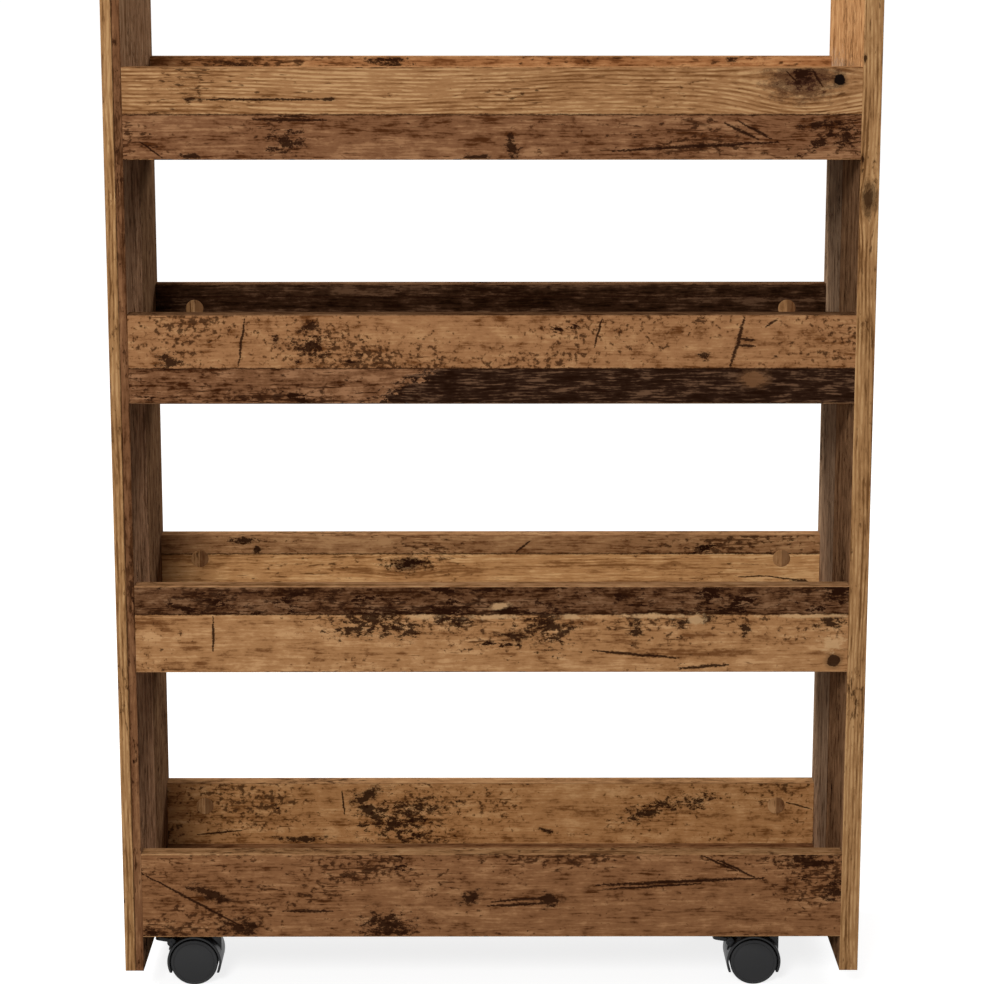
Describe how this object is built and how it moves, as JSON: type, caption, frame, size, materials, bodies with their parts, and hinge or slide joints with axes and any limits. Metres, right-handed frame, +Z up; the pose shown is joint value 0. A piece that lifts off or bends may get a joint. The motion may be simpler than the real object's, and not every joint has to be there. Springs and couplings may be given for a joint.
{
  "type": "storage trolley",
  "caption": "Slim rolling storage trolley: tall side panels, open trays with low front and back rails, and hooded twin-wheel swivel casters, the front ones with foot brakes.",
  "frame": {"origin": "on the floor, under the middle of the trolley", "axes": "+Z up, front towards -Y, the trolley's width along X"},
  "size_m": [0.6, 0.2, 0.86],
  "materials": {
    "panel_wood": "matte old-wood print on chipboard, plank seams and dark marks, grain running up the panel",
    "edge_band": "matte old-wood print edge band",
    "front_rail_wood": "matte old-wood print, two printed planks with knots, cracks and nail holes, grain along the rail",
    "back_rail_wood": "matte old-wood print, grain along the rail",
    "shelf_wood": "matte old-wood print, grain along the shelf",
    "cam_zinc": "die-cast zinc, dull",
    "bolt_steel": "zinc-plated steel",
    "cap_print": "matte wood-print cap",
    "dowel_wood": "plain beech",
    "screw_steel": "zinc-plated steel",
    "plate_black": "black powder-coated steel",
    "pin_steel": "bright steel",
    "hood_black": "satin black moulded plastic",
    "wheel_black": "satin dark grey moulded plastic",
    "lever_black": "satin black moulded plastic"
  },
  "bodies": {
    "frame": {"side_panel_left": "panel_wood", "side_panel_right": "panel_wood", "panel_edge_bands": "edge_band", "rail_edge_bands": "edge_band", "front_rail_1": "front_rail_wood", "front_rail_2": "front_rail_wood", "front_rail_3": "front_rail_wood", "front_rail_4": "front_rail_wood", "back_rail_1": "back_rail_wood", "back_rail_2": "back_rail_wood", "back_rail_3": "back_rail_wood", "back_rail_4": "back_rail_wood", "shelf_1": "shelf_wood", "shelf_2": "shelf_wood", "shelf_3": "shelf_wood", "shelf_4": "shelf_wood", "cam_locks": "cam_zinc", "cam_bolts": "bolt_steel", "cam_caps": "cap_print", "rail_end_dowels": "dowel_wood", "shelf_end_dowels": "dowel_wood", "tray_dowels": "dowel_wood", "caster_screws": "screw_steel", "front_left_plate": "plate_black", "front_left_kingpin": "pin_steel", "front_right_plate": "plate_black", "front_right_kingpin": "pin_steel", "back_left_plate": "plate_black", "back_left_kingpin": "pin_steel", "back_right_plate": "plate_black", "back_right_kingpin": "pin_steel"},
    "front_left_fork": {"front_left_hood": "hood_black", "front_left_axle": "pin_steel", "front_left_brake_pin": "pin_steel"},
    "front_left_wheel_outer_body": {"front_left_wheel_outer": "wheel_black"},
    "front_left_wheel_inner_body": {"front_left_wheel_inner": "wheel_black"},
    "front_left_lever": {"front_left_brake_lever": "lever_black"},
    "front_right_fork": {"front_right_hood": "hood_black", "front_right_axle": "pin_steel", "front_right_brake_pin": "pin_steel"},
    "front_right_wheel_outer_body": {"front_right_wheel_outer": "wheel_black"},
    "front_right_wheel_inner_body": {"front_right_wheel_inner": "wheel_black"},
    "front_right_lever": {"front_right_brake_lever": "lever_black"},
    "back_left_fork": {"back_left_hood": "hood_black", "back_left_axle": "pin_steel"},
    "back_left_wheel_outer_body": {"back_left_wheel_outer": "wheel_black"},
    "back_left_wheel_inner_body": {"back_left_wheel_inner": "wheel_black"},
    "back_right_fork": {"back_right_hood": "hood_black", "back_right_axle": "pin_steel"},
    "back_right_wheel_outer_body": {"back_right_wheel_outer": "wheel_black"},
    "back_right_wheel_inner_body": {"back_right_wheel_inner": "wheel_black"}
  },
  "joints": [
    {"name": "front_left_swivel", "type": "hinge", "parent": "frame", "child": "front_left_fork", "pos_m": [-0.232, -0.057, 0.0475], "axis": [0, 0, 1], "continuous": true},
    {"name": "front_left_wheel_outer_spin", "type": "hinge", "parent": "front_left_fork", "child": "front_left_wheel_outer_body", "pos_m": [-0.2465, -0.057, 0.0195], "axis": [0, 1, 0], "continuous": true},
    {"name": "front_left_wheel_inner_spin", "type": "hinge", "parent": "front_left_fork", "child": "front_left_wheel_inner_body", "pos_m": [-0.2465, -0.057, 0.0195], "axis": [0, 1, 0], "continuous": true},
    {"name": "front_left_brake", "type": "hinge", "parent": "front_left_fork", "child": "front_left_lever", "pos_m": [-0.26561, -0.057, 0.03459], "axis": [0, -1, 0], "range_deg": [0, 12]},
    {"name": "front_right_swivel", "type": "hinge", "parent": "frame", "child": "front_right_fork", "pos_m": [0.232, -0.057, 0.0475], "axis": [0, 0, 1], "continuous": true},
    {"name": "front_right_wheel_outer_spin", "type": "hinge", "parent": "front_right_fork", "child": "front_right_wheel_outer_body", "pos_m": [0.2175, -0.057, 0.0195], "axis": [0, 1, 0], "continuous": true},
    {"name": "front_right_wheel_inner_spin", "type": "hinge", "parent": "front_right_fork", "child": "front_right_wheel_inner_body", "pos_m": [0.2175, -0.057, 0.0195], "axis": [0, 1, 0], "continuous": true},
    {"name": "front_right_brake", "type": "hinge", "parent": "front_right_fork", "child": "front_right_lever", "pos_m": [0.19839, -0.057, 0.03459], "axis": [0, -1, 0], "range_deg": [0, 12]},
    {"name": "back_left_swivel", "type": "hinge", "parent": "frame", "child": "back_left_fork", "pos_m": [-0.232, 0.057, 0.0475], "axis": [0, 0, 1], "continuous": true},
    {"name": "back_left_wheel_outer_spin", "type": "hinge", "parent": "back_left_fork", "child": "back_left_wheel_outer_body", "pos_m": [-0.2465, 0.057, 0.0195], "axis": [0, 1, 0], "continuous": true},
    {"name": "back_left_wheel_inner_spin", "type": "hinge", "parent": "back_left_fork", "child": "back_left_wheel_inner_body", "pos_m": [-0.2465, 0.057, 0.0195], "axis": [0, 1, 0], "continuous": true},
    {"name": "back_right_swivel", "type": "hinge", "parent": "frame", "child": "back_right_fork", "pos_m": [0.232, 0.057, 0.0475], "axis": [0, 0, 1], "continuous": true},
    {"name": "back_right_wheel_outer_spin", "type": "hinge", "parent": "back_right_fork", "child": "back_right_wheel_outer_body", "pos_m": [0.2175, 0.057, 0.0195], "axis": [0, 1, 0], "continuous": true},
    {"name": "back_right_wheel_inner_spin", "type": "hinge", "parent": "back_right_fork", "child": "back_right_wheel_inner_body", "pos_m": [0.2175, 0.057, 0.0195], "axis": [0, 1, 0], "continuous": true}
  ]
}
